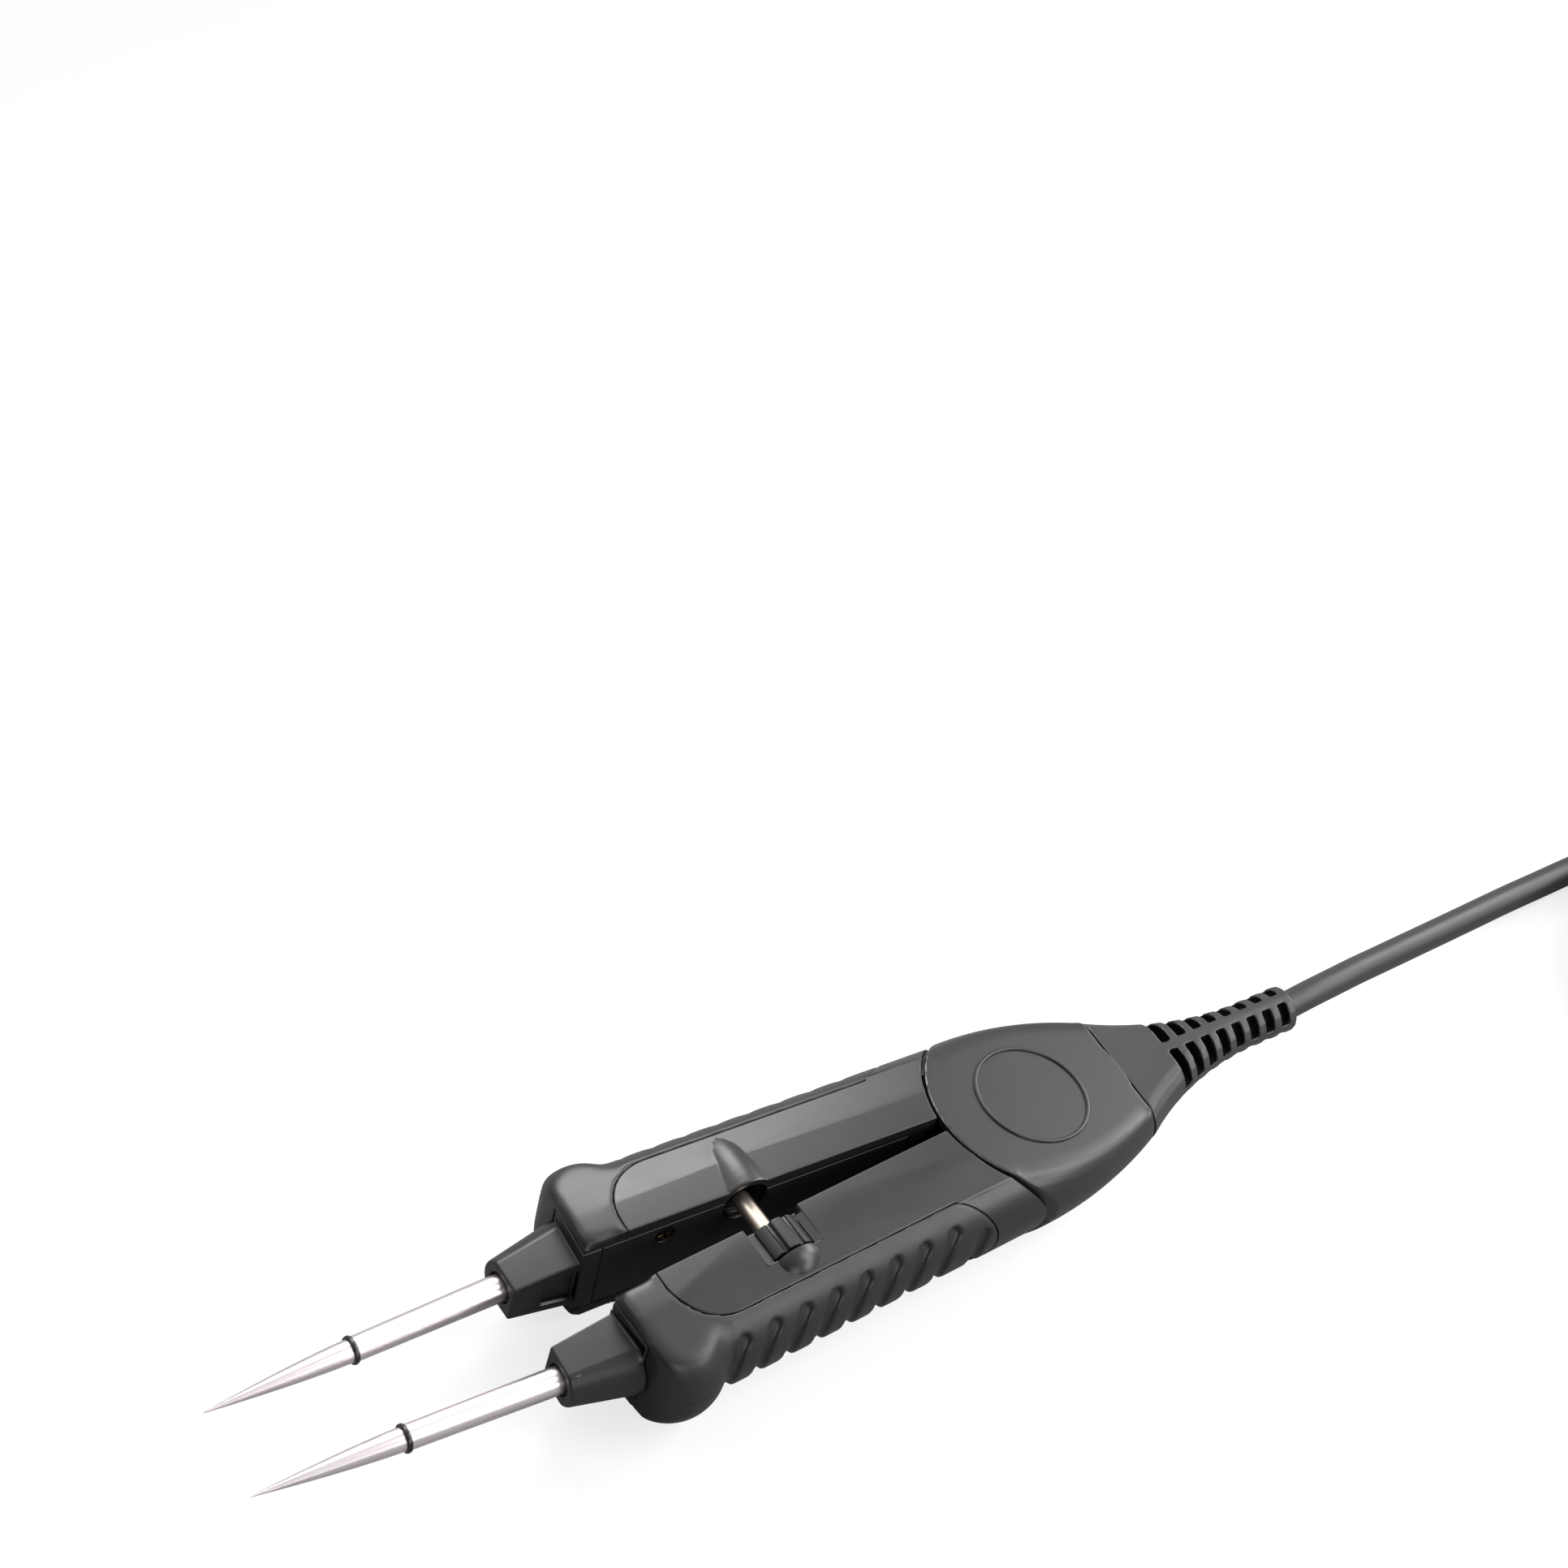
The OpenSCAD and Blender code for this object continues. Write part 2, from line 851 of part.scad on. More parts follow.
module hub_body() {
    difference() {
        union() {
            difference() {
                hub_solid();
                hub_cavity();
            }
            hub_bosses();
        }
        for (y = [-1, 1]) {
            translate([pivot_x, y * pivot_y, 0]) cylinder(r = pin_r + snug, h = 2 * pin_half, center = true);
            translate([screw_x, y * screw_y, screw_seat - 2]) cylinder(r = 1 + snug, h = 3.5 - screw_seat);
            translate([screw_x, y * screw_y, screw_seat - 20]) cylinder(r = 1.9, h = 20);
        }
        translate([cavity_rear - 1, -neck_y, -neck_z]) cube([10, 2 * neck_y, 2 * neck_z]);
    }
}

screw_seat = hub_split - 1.2;

// Raised ring round the bare disc
module disc_ring() {
    rise = 0.35;
    translate([0, 0, hub_top])
        rotate([0, hub_slope, 0])
            translate([0, 0, -0.5])
                difference() {
                    cylinder(r = disc_r, h = rise + 0.5, $fn = 96);
                    translate([0, 0, -1]) cylinder(r = disc_r - 0.7, h = 3, $fn = 96);
                }
}

module hub_top_shell() {
    color(plastic)
        in_place() {
            difference() {
                hub_body();
                below(hub_split);
            }
            disc_ring();
        }
}

board_x0 = 7.6;
board_x1 = 11.4;
board_y = 12.4;
board_t = 1.6;
board_z = hub_split - 0.1;
clamp_x = board_x1 + 1.3;
clamp_len = 3;
clamp_half = hub_top - (clamp_x + clamp_len) * tan(hub_slope) - hub_wall - 0.1;

// The lower shell also carries the ledges of the board and of the clamp
module hub_bottom_shell() {
    color(plastic)
        in_place() {
            intersection() {
                hub_body();
                below(hub_split);
            }
            for (y = [-1, 1])
                translate([board_x0, y * (board_y - 2) - 1.2, board_z - 2.2])
                    cube([board_x1 - board_x0, 2.4, 2.2]);
            translate([clamp_x, -3, -clamp_half - 1.3]) cube([clamp_len, 6, 1.3]);
        }
}

module hub_screws() {
    color(steel)
        in_place()
            for (y = [-1, 1])
                translate([screw_x, y * screw_y, 0]) {
                    translate([0, 0, screw_seat - 0.9]) cylinder(r = 1.8, h = 0.9);
                    translate([0, 0, screw_seat - 0.5]) cylinder(r = 1, h = 1.2 - screw_seat);
                }
}

module pivot_pin() {
    color(steel) cylinder(r = pin_r, h = 2 * pin_half, center = true);
}

module left_pivot_pin() {
    in_place() translate([pivot_x, pivot_y, 0]) pivot_pin();
}

module right_pivot_pin() {
    in_place() translate([pivot_x, -pivot_y, 0]) pivot_pin();
}

// Coil spring between the tongues, in blind pockets
module return_spring() {
    steps = 10;
    total = spring_turns * steps;
    mean = spring_r - spring_wire;
    points = [for (i = [0 : total])
        [mean * cos(360 * i / steps), (spring_half - spring_wire) * (2 * i / total - 1),
         mean * sin(360 * i / steps)]];
    color(steel)
        in_place()
            translate([pivot_x - spring_u, 0, 0])
                tube(points, spring_wire, 6, [0, 1, 0]);
}

module terminal_board() {
    color("darkgreen")
        in_place()
            translate([board_x0, -board_y, board_z]) cube([board_x1 - board_x0, 2 * board_y, board_t]);
}

module hub_wire(side) {
    top = board_z + board_t;
    color("firebrick")
        in_place()
            rod_between([board_x0 + 1.5, side * 11.4, top + wire_r], [-11.5, side * 12.4, 0], wire_r);
}

module left_hub_wire() {
    hub_wire(1);
}

module right_hub_wire() {
    hub_wire(-1);
}

// Lead

module cord_end() {
    color("dimgray") in_place() rod(cord_r, board_x1 + 0.4, cavity_rear - flange_t);
}

module cable_clamp() {
    color(plastic)
        in_place()
            difference() {
                translate([clamp_x, -5, -clamp_half]) cube([clamp_len, 10, 2 * clamp_half]);
                rod(cord_r + snug, 0, hub_rear);
            }
}

// Distance of the round edges' centres from the middle line
function edge_y(x) = max(0.05, x < bow_x ? bow_r - sqrt(bow_r * bow_r - (bow_x - x) * (bow_x - x)) : 0);

// Strain relief: flat sections with round edges, drawn in along the arcs to a round end
module boot_body() {
    steps = 12;
    half = 8;
    xs = concat([for (i = [0 : steps]) boot_x + (bow_x - boot_x) * i / steps], [boot_end]);
    count = 2 * (half + 1);
    rings = [for (x = xs, side = [1, -1], k = [0 : half])
        [x, side * (edge_y(x) + boot_r * cos(-90 + 180 * k / half)),
         side * boot_r * sin(-90 + 180 * k / half)]];
    last = (len(xs) - 1) * count;
    walls = [for (i = [0 : len(xs) - 2], k = [0 : count - 1])
        let (n = (k + 1) % count)
        [i * count + k, (i + 1) * count + k, (i + 1) * count + n, i * count + n]];
    caps = [[for (k = [0 : count - 1]) k], [for (k = [count - 1 : -1 : 0]) last + k]];
    polyhedron(rings, concat(walls, caps));
}

// Windows leave a round core and four spines
module boot_windows() {
    difference() {
        for (i = [0 : window_count - 1])
            translate([window_first + i * window_pitch - window_w / 2, -block / 2, -block / 2])
                cube([window_w, block, block]);
        rod(core_r, 0, block);
        translate([0, -block, -spine_half]) cube([block, 2 * block, 2 * spine_half]);
        translate([0, -spine_half, -block]) cube([block, 2 * spine_half, 2 * block]);
    }
}

module strain_relief() {
    color("#565659")
        in_place() {
            difference() {
                boot_body();
                boot_windows();
            }
            translate([cavity_rear, -neck_y, -neck_z])
                cube([boot_x - cavity_rear + 0.5, 2 * neck_y, 2 * neck_z]);
            translate([cavity_rear - flange_t, -flange_y, -neck_z])
                cube([flange_t, 2 * flange_y, 2 * neck_z]);
        }
}

module cord_tube() {
    color("dimgray") in_place() tube(route, cord_r, 12);
}

module cord_coil() {
    color("dimgray")
        in_place()
            translate([coil_at[0], coil_at[1], tie_t - half_h])
                rotate_extrude()
                    translate([coil_r - coil_half, 0]) square([2 * coil_half, coil_h]);
}

module cord_tail() {
    color("dimgray") in_place() tube(tail_route, cord_r, 12);
}

// Strap round the coil, on the side towards the tool
module coil_tie() {
    color("black")
        in_place()
            translate([coil_at[0], coil_at[1], -half_h])
                rotate([0, 0, 173])
                    rotate_extrude(angle = 14)
                        translate([coil_r - coil_half, 0])
                            difference() {
                                translate([-tie_t, 0])
                                    square([2 * coil_half + 2 * tie_t, coil_h + 2 * tie_t]);
                                translate([0, tie_t]) square([2 * coil_half, coil_h]);
                            }
}

// Connector along the tail, pointing towards -x
module on_plug() {
    in_place() translate([plug_x, tail_y, plug_z]) rotate([0, -90, 0]) children();
}

module connector_boot() {
    color("dimgray")
        on_plug()
            rotate_extrude()
                polygon([[0, 0], [cord_r + 0.5, 0], [cord_r + 1.6, plug_boot_len], [0, plug_boot_len]]);
}

// Metal body with a collar that the nut turns behind
module connector_body() {
    z0 = plug_boot_len;
    groove = z0 + 4;
    color(steel)
        on_plug()
            rotate_extrude()
                polygon([[0, z0], [plug_body_r + 0.8, z0], [plug_body_r + 0.8, groove - clear],
                         [plug_body_r, groove - clear], [plug_body_r, groove + nut_back + clear],
                         [nut_bore - fit, groove + nut_back + clear], [nut_bore - fit, z0 + plug_body_len],
                         [0, z0 + plug_body_len]]);
}

module connector_insulator() {
    z0 = plug_boot_len + plug_body_len;
    color("white") on_plug() translate([0, 0, z0]) cylinder(r = 2.6, h = 3);
}

module connector_pin() {
    z0 = plug_boot_len + plug_body_len + 3;
    color(brass) on_plug() translate([0, 0, z0]) cylinder(r = 0.5, h = 4);
}

// Knurled nut that turns on the connector's body
module coupling_nut() {
    z0 = plug_boot_len + 4;
    flats = 24;
    color(steel)
        on_plug()
            translate([0, 0, z0])
                difference() {
                    linear_extrude(nut_len)
                        difference() {
                            circle(d = nut_d);
                            for (i = [0 : flats - 1])
                                rotate(i * 360 / flats)
                                    translate([nut_d / 2 + 0.1, 0]) circle(r = 0.5, $fn = 16);
                        }
                    translate([0, 0, -1]) cylinder(r = plug_body_r + fit, h = nut_len + 2);
                    translate([0, 0, nut_back]) cylinder(r = nut_bore, h = nut_len);
                }
}

hub_top_shell();
hub_bottom_shell();
hub_screws();
left_pivot_pin();
right_pivot_pin();
return_spring();
terminal_board();
left_hub_wire();
right_hub_wire();
cord_end();
cable_clamp();
strain_relief();
left_arm_shell();
left_grip();
left_inner_cover();
left_cover_screw();
left_nose();
left_socket();
left_contact();
left_wire();
left_sleeve();
left_ring();
left_tip();
right_arm_shell();
right_grip();
right_inner_cover();
right_cover_screw();
right_nose();
right_socket();
right_contact();
right_wire();
right_sleeve();
right_ring();
right_tip();
thumbwheel();
adjuster_screw();
cord_tube();
cord_coil();
coil_tie();
cord_tail();
connector_boot();
connector_body();
connector_insulator();
connector_pin();
coupling_nut();
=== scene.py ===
import math

import bmesh
import bpy
from mathutils import Matrix, Vector
from mathutils.bvhtree import BVHTree
from mathutils.kdtree import KDTree


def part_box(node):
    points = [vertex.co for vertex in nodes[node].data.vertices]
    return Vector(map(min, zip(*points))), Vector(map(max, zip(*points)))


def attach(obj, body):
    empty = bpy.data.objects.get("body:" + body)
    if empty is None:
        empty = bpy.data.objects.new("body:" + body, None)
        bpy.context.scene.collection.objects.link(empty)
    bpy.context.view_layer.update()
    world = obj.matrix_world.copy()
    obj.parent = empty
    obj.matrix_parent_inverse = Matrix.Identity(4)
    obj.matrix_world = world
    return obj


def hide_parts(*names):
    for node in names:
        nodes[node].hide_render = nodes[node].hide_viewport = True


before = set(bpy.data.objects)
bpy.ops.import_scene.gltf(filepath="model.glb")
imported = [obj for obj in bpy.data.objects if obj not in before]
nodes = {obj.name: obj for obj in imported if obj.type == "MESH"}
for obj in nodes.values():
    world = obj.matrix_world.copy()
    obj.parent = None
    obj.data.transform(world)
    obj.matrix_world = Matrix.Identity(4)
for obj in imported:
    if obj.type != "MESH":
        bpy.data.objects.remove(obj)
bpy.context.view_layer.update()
scene = bpy.context.scene
scene.view_settings.view_transform = "Standard"

# Stage. The camera stands where the photo was taken from, solved with the middle of the hub's disc as its
# origin. White paper lies under the tool, the room is white, and soft boxes all round put a sheen on the
# shoulders of the dark mouldings.
TOOL = Vector((0.047558, 0.0, 0.0108))
az, el, roll = (math.radians(a) for a in (-42.585, 47.041, 14.038))
back = Vector((math.sin(az) * math.cos(el), -math.cos(az) * math.cos(el), math.sin(el)))
flat = Vector((math.cos(az), math.sin(az), 0))
rise = back.cross(flat)
right = math.cos(roll) * flat + math.sin(roll) * rise
up = -math.sin(roll) * flat + math.cos(roll) * rise
camera = bpy.data.objects.new("camera", bpy.data.cameras.new("camera"))
SENSOR, FOCAL_PIXELS, PHOTO_PIXELS = 36, 4279.128, 1932
camera.data.sensor_width = SENSOR
camera.data.lens = FOCAL_PIXELS / PHOTO_PIXELS * SENSOR
camera.data.clip_start = 0.01
to_right, to_up, to_back = -0.042145, 0.059477, 0.614276
spot = TOOL + to_right * right + to_up * up + to_back * back
camera.matrix_world = Matrix.Translation(spot) @ Matrix((right, up, back)).transposed().to_4x4()
scene.collection.objects.link(camera)
scene.camera = camera


def rgb(code):
    """Linear colour of an sRGB hex code."""
    parts = [int(code[i:i + 2], 16) / 255 for i in (1, 3, 5)]
    return [c / 12.92 if c <= 0.04045 else ((c + 0.055) / 1.055) ** 2.4 for c in parts] + [1]


def add(tree, kind, stops=(), **values):
    """Adds a node; each value is an input's number, a socket to link to it, or a setting. Stops are the
    (position, hex colour) pairs of a colour ramp."""
    n = tree.nodes.new("ShaderNode" + kind)
    for k, (place, code) in enumerate(stops):
        element = n.color_ramp.elements[k] if k < 2 else n.color_ramp.elements.new(place)
        element.position, element.color = place, rgb(code)
    for key, value in values.items():
        wanted = key.replace("_", " ").lower()
        socket = next((s for s in n.inputs if s.name.lower() == wanted and s.enabled), None)
        if key[:2] == "in" and key[2:].isdigit():
            socket = n.inputs[int(key[2:])]
        if socket is None:
            setattr(n, key, value)
        elif isinstance(value, bpy.types.NodeSocket):
            tree.links.new(value, socket)
        else:
            socket.default_value = value
    return n


def material(name):
    """An empty material, its node tree and its object coordinates in millimetres."""
    m = bpy.data.materials.new(name)
    m.use_nodes = True
    m.node_tree.nodes.clear()
    where = add(m.node_tree, "TexCoord").outputs["Object"]
    scaled = add(m.node_tree, "Mapping", Vector=where, Scale=(1000, 1000, 1000))
    return m, m.node_tree, scaled.outputs["Vector"]


def close(tree, shader):
    """Links a shader to the material's surface."""
    tree.links.new(shader.outputs[0], add(tree, "OutputMaterial").inputs["Surface"])


def dress(obj, paint):
    """Gives a piece or a CAD node one material."""
    obj.data.materials.clear()
    obj.data.materials.append(paint)
    return obj


def as_piece(name, bm):
    """A mesh object from a bmesh, with its sharp edges kept and the rest shaded smooth."""
    mesh = bpy.data.meshes.new(name)
    bm.to_mesh(mesh)
    bm.free()
    mesh.shade_smooth()
    mesh.set_sharp_from_angle(angle=math.radians(32))
    obj = bpy.data.objects.new(name, mesh)
    scene.collection.objects.link(obj)
    return obj


def lamp(name, direction, distance, size, power):
    """Soft rectangular lamp that looks at the tool; lengths in metres."""
    light = bpy.data.lights.new(name, "AREA")
    light.shape = "RECTANGLE"
    light.size, light.size_y = size
    light.energy = power
    obj = bpy.data.objects.new(name, light)
    obj.location = TOOL + Vector(direction).normalized() * distance
    obj.rotation_euler = (-Vector(direction)).to_track_quat("-Z", "Y").to_euler()
    scene.collection.objects.link(obj)


lamp("near_high_box", (0.55, -0.25, 0.80), 0.9, (0.4, 0.4), 3.2)
lamp("near_low_box", (0.45, -0.78, 0.42), 0.9, (0.4, 0.3), 2.6)
lamp("right_box", (0.88, 0.15, 0.45), 0.9, (0.4, 0.4), 4.8)
lamp("near_right_box", (0.70, -0.45, 0.55), 0.9, (0.35, 0.3), 2.2)
lamp("left_front_box", (-0.35, -0.83, 0.42), 0.9, (0.4, 0.3), 1.9)
lamp("left_back_box", (-0.45, 0.50, 0.74), 0.9, (0.4, 0.4), 1.2)
lamp("far_guard_box", (0.02, 0.72, 0.66), 0.25, (0.14, 0.14), 0.7)

world = bpy.data.worlds.new("white_room")
scene.world = world
world.use_nodes = True
room = world.node_tree
room.nodes.clear()
ray = add(room, "LightPath").outputs
seen = add(room, "Math", operation="MAXIMUM", in0=ray["Is Camera Ray"], in1=ray["Is Transmission Ray"])
level = add(room, "MapRange", Value=seen.outputs[0], To_Min=0.08, To_Max=1.0).outputs["Result"]
# Mirrored rays meet the white room too, with a darker wall low down in front, which draws the metal.
look = add(room, "TexCoord").outputs["Generated"]
low_front = (-0.64, -0.72, -0.27)
side = add(room, "VectorMath", operation="DOT_PRODUCT", in0=look, in1=low_front).outputs["Value"]
wall = add(room, "MapRange", Value=side, From_Min=0.1, From_Max=0.7, To_Min=0.72, To_Max=0.06)
mirrored = add(room, "Mix", data_type="FLOAT", Factor=ray["Is Glossy Ray"], A=level, B=wall.outputs["Result"])
glow = add(room, "Background", Color=(1, 1, 1, 1), Strength=mirrored.outputs["Result"])
room.links.new(glow.outputs[0], add(room, "OutputWorld").inputs["Surface"])

bm = bmesh.new()
bmesh.ops.create_grid(bm, x_segments=1, y_segments=1, size=4)
floor = as_piece("paper_floor", bm)
# White to the eye; light that bounces off it is held down, so that the tool's sides stay dark.
m, tree, mm = material("white_paper")
fibre = add(tree, "TexNoise", Vector=mm, Scale=0.5, Detail=3).outputs["Fac"]
ray = add(tree, "LightPath").outputs
seen = add(tree, "Math", operation="MAXIMUM", in0=ray["Is Camera Ray"], in1=ray["Is Transmission Ray"])
shine = add(tree, "Math", operation="MULTIPLY_ADD", in0=ray["Is Glossy Ray"], in1=0.06, in2=seen.outputs[0])
away = add(tree, "VectorMath", operation="LENGTH", in0=mm).outputs["Value"]
full = add(tree, "MapRange", Value=away, From_Min=400, From_Max=1600, To_Min=0.74, To_Max=1.0)
lift = add(tree, "Math", operation="MULTIPLY", in0=shine.outputs[0], in1=full.outputs["Result"]).outputs[0]
tone = add(tree, "ValToRGB", Fac=fibre, stops=((0.3, "#8e8e8e"), (0.7, "#929292"))).outputs["Color"]
close(tree, add(tree, "BsdfPrincipled", Base_Color=tone, Roughness=0.9, Emission_Color=(1, 1, 1, 1),
                Emission_Strength=lift))
dress(floor, m)

# Lead. A round rubber-jacketed cable, 0.86 m in all: it leaves the strain relief level and sinks to the
# bench. What the photo leaves out is wound into one coil of two layers, held by a strap, and its tail lies
# on the coil with the connector.

# In metres from the disc's middle: the lead's thickness, the coil's mean radius and a clearance; the lead's
# height on the bench, in the two layers, on the coil and at the plug; the radii of the lead beside the coil,
# of its inner and outer turns and of its end; and the coil's middle.
CORD, TURN, CLEAR = 0.0053, 0.0265, 0.00035
BENCH, LOW, HIGH, ON_TOP, PLUG = -0.00815, -0.00755, -0.00199, 0.003365, 0.007165
BESIDE = TURN + 1.55 * CORD + CORD / 2 + CLEAR
IN, OUT, END = TURN - 1.048 * CORD, TURN + 1.05 * CORD, TURN + 0.0005
COIL = Vector((0.157, 0.007 - BESIDE, 0))


def smooth_step(t):
    """Rises from 0 to 1 with level ends."""
    return t * t * (3 - 2 * t)


route = [(59.8, 0, 0), (67, 0.5, 0), (73, 1, -0.4), (79, 1.6, -1), (86, 2.3, -2), (96, 3.3, -3.4),
         (106, 4.3, -4.8), (115, 5.2, -6), (124, 6, -7), (133, 6.5, -7.7), (142, 6.9, -8.15),
         (150, 7, -8.15)]
line = [TOOL + Vector(p) / 1000 for p in route]
# Legs of the coil: first and last degrees, then radius and height at each end. Long ones wind evenly.
DEGREES_APART, LONG_LEG = 15, 10
legs = [(0, 60, BESIDE, OUT, BENCH, LOW), (60, 780, OUT, IN, LOW, LOW), (780, 840, IN, IN, LOW, HIGH),
        (840, 1410, IN, OUT, HIGH, HIGH), (1410, 1470, OUT, OUT, HIGH, ON_TOP),
        (1470, 1530, OUT, END, ON_TOP, ON_TOP)]
for first, last, r0, r1, z0, z1 in legs:
    steps = round((last - first) / DEGREES_APART)
    for k in range(steps):
        t = k / steps
        angle = math.radians(first + t * (last - first))
        r = r0 + (r1 - r0) * (smooth_step(t) if steps < LONG_LEG else t)
        z = z0 + (z1 - z0) * smooth_step(t)
        line.append(TOOL + COIL + Vector((r * math.sin(angle), r * math.cos(angle), z)))
# The tail bends round a quarter circle and ends inside the connector's boot.
BEND, IN_BOOT = 4 * CORD, 0.0038
bend = COIL + Vector((END - BEND, 0, 0))
for degrees in range(0, 91, DEGREES_APART):
    angle = math.radians(degrees)
    z = ON_TOP + (PLUG - ON_TOP) * (1 - math.cos(2 * angle)) / 2
    line.append(TOOL + bend + Vector((BEND * math.cos(angle), -BEND * math.sin(angle), z)))
line.append(TOOL + bend + Vector((-IN_BOOT, -BEND, PLUG)))
curve = bpy.data.curves.new("lead", "CURVE")
curve.dimensions = "3D"
curve.resolution_u = 4
curve.bevel_depth = 1
curve.bevel_resolution = 6
curve.use_fill_caps = True
spline = curve.splines.new("BEZIER")
spline.bezier_points.add(len(line) - 1)
for point, before, place, after in zip(spline.bezier_points, line[:1] + line, line, line[1:] + line[-1:]):
    point.co = place
    point.radius = CORD / 2
    point.handle_left = place - (after - before) / 6
    point.handle_right = place + (after - before) / 6
lead = bpy.data.objects.new("lead", curve)
scene.collection.objects.link(lead)
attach(lead, "hub")
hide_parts("cord_tube", "cord_coil", "cord_tail")


def moulded(name, dark, light, rough, gloss, grain_mm, grain):
    """Moulded plastic or rubber: faintly cloudy colour and the fine eroded grain of its mould."""
    m, tree, mm = material(name)
    cloud = add(tree, "TexNoise", Vector=mm, Scale=0.07, Detail=5, Roughness=0.6).outputs["Fac"]
    fine = add(tree, "TexNoise", Vector=mm, Scale=1 / grain_mm, Detail=3).outputs["Fac"]
    worn = add(tree, "TexNoise", Vector=mm, Scale=0.16, Detail=6).outputs["Fac"]
    base = add(tree, "MapRange", Value=worn, From_Min=0.35, From_Max=0.7, To_Min=rough + 0.02,
               To_Max=rough - 0.02).outputs["Result"]
    speck = add(tree, "Math", operation="MULTIPLY_ADD", in0=fine, in1=0.08, in2=base).outputs[0]
    bump = add(tree, "Bump", Height=fine, Strength=grain, Distance=0.00004)
    tone = add(tree, "ValToRGB", Fac=cloud, stops=((0.35, dark), (0.7, light))).outputs["Color"]
    close(tree, add(tree, "BsdfPrincipled", Base_Color=tone, Roughness=speck, Specular_IOR_Level=gloss,
                    Normal=bump.outputs["Normal"]))
    return m


# Extruded rubber: satin grey, a little paler than the mouldings. Its grain is drawn coarser than the real
# tenth of a millimetre, so that it shows.
jacket = moulded("extruded_rubber_jacket", "#2e2d2e", "#323132", 0.4, 0.45, 0.4, 0.12)
dress(lead, jacket)

# Hub shells. Two nylon mouldings, round in front and tapering to the rear, with a raised ring on the upper
# one round a bare disc. Screws from below hold them together, and the mould leaves their edges rounded.


def stand_in(obj, node, body):
    """Lets a piece ride on a body in place of a CAD node."""
    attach(obj, body)
    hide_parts(node)
    return obj


def trim(obj, body, paint):
    """Lets a small moulded form ride on a body, with no CAD node behind it."""
    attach(obj, body)
    dress(obj, paint)


def cad_copy(node):
    """A bmesh of a CAD node with its doubled corners merged."""
    bm = bmesh.new()
    bm.from_mesh(nodes[node].data)
    bmesh.ops.remove_doubles(bm, verts=bm.verts, dist=2e-6)
    return bm


def eased(bm, verts, times):
    """Smooths some vertices of a bmesh a number of times."""
    for _ in range(times):
        bmesh.ops.smooth_vert(bm, verts=verts, factor=0.5, use_axis_x=True, use_axis_y=True, use_axis_z=True)


def even_form(node, mesh_mm, times):
    """A bmesh of a CAD node as it comes from its mould: a mesh of even faces with every edge eased."""
    rough = as_piece(node + "_rough", cad_copy(node))
    even = rough.modifiers.new("even_mesh", "REMESH")
    even.mode = "VOXEL"
    even.voxel_size = mesh_mm / 1000
    bm = bmesh.new()
    bm.from_object(rough, bpy.context.evaluated_depsgraph_get())
    bpy.data.objects.remove(rough)
    eased(bm, bm.verts, times)
    return bm


def turned(profile, start, along):
    """A closed turned form: (radius, distance) points in mm, spun round an axis from a start point."""
    bm = bmesh.new()
    across = along.orthogonal().normalized()
    places = [start + (along * d + across * r) / 1000 for r, d in profile]
    verts = [bm.verts.new(p) for p in places]
    edges = [bm.edges.new(pair) for pair in zip(verts, verts[1:])]
    bmesh.ops.spin(bm, geom=verts + edges, cent=start, axis=along, angle=2 * math.pi, steps=96,
                   use_merge=True)
    bmesh.ops.remove_doubles(bm, verts=bm.verts, dist=1e-6)
    bmesh.ops.recalc_face_normals(bm, faces=bm.faces)
    return bm


def softened(name, node, body, width):
    """A copy of a CAD node with its edges rounded to a width in mm, riding in its place."""
    bm = cad_copy(node)
    bmesh.ops.dissolve_limit(bm, angle_limit=math.radians(0.4), verts=bm.verts, edges=bm.edges)
    sharp = [e for e in bm.edges if len(e.link_faces) == 2 and e.calc_face_angle(0) > math.radians(25)]
    bmesh.ops.bevel(bm, geom=sharp, offset=width / 1000, offset_type="OFFSET", affect="EDGES", segments=2,
                    profile=0.5, material=-1, clamp_overlap=False)
    obj = as_piece(name, bm)
    even = obj.modifiers.new("even_shading", "WEIGHTED_NORMAL")
    even.keep_sharp = True
    return stand_in(obj, node, body)


# Moulded nylon: nearly black and satin, so that it is its sheen that shows.
hub_nylon = moulded("moulded_nylon_hub", "#1c1b1c", "#1f1e1f", 0.33, 0.5, 0.35, 0.16)
# The disc's slope, and in metres its height over the tool's middle, the radius that is made flat and the
# depth of what counts as its surface.
SLOPE, DISC_HIGH, DISC_FLAT, DISC_SKIN = math.radians(8.6), 0.0076, 0.0117, 0.00015
disc_up = Vector((math.sin(SLOPE), 0, math.cos(SLOPE)))
disc_mid = TOOL + Vector((0, 0, DISC_HIGH))
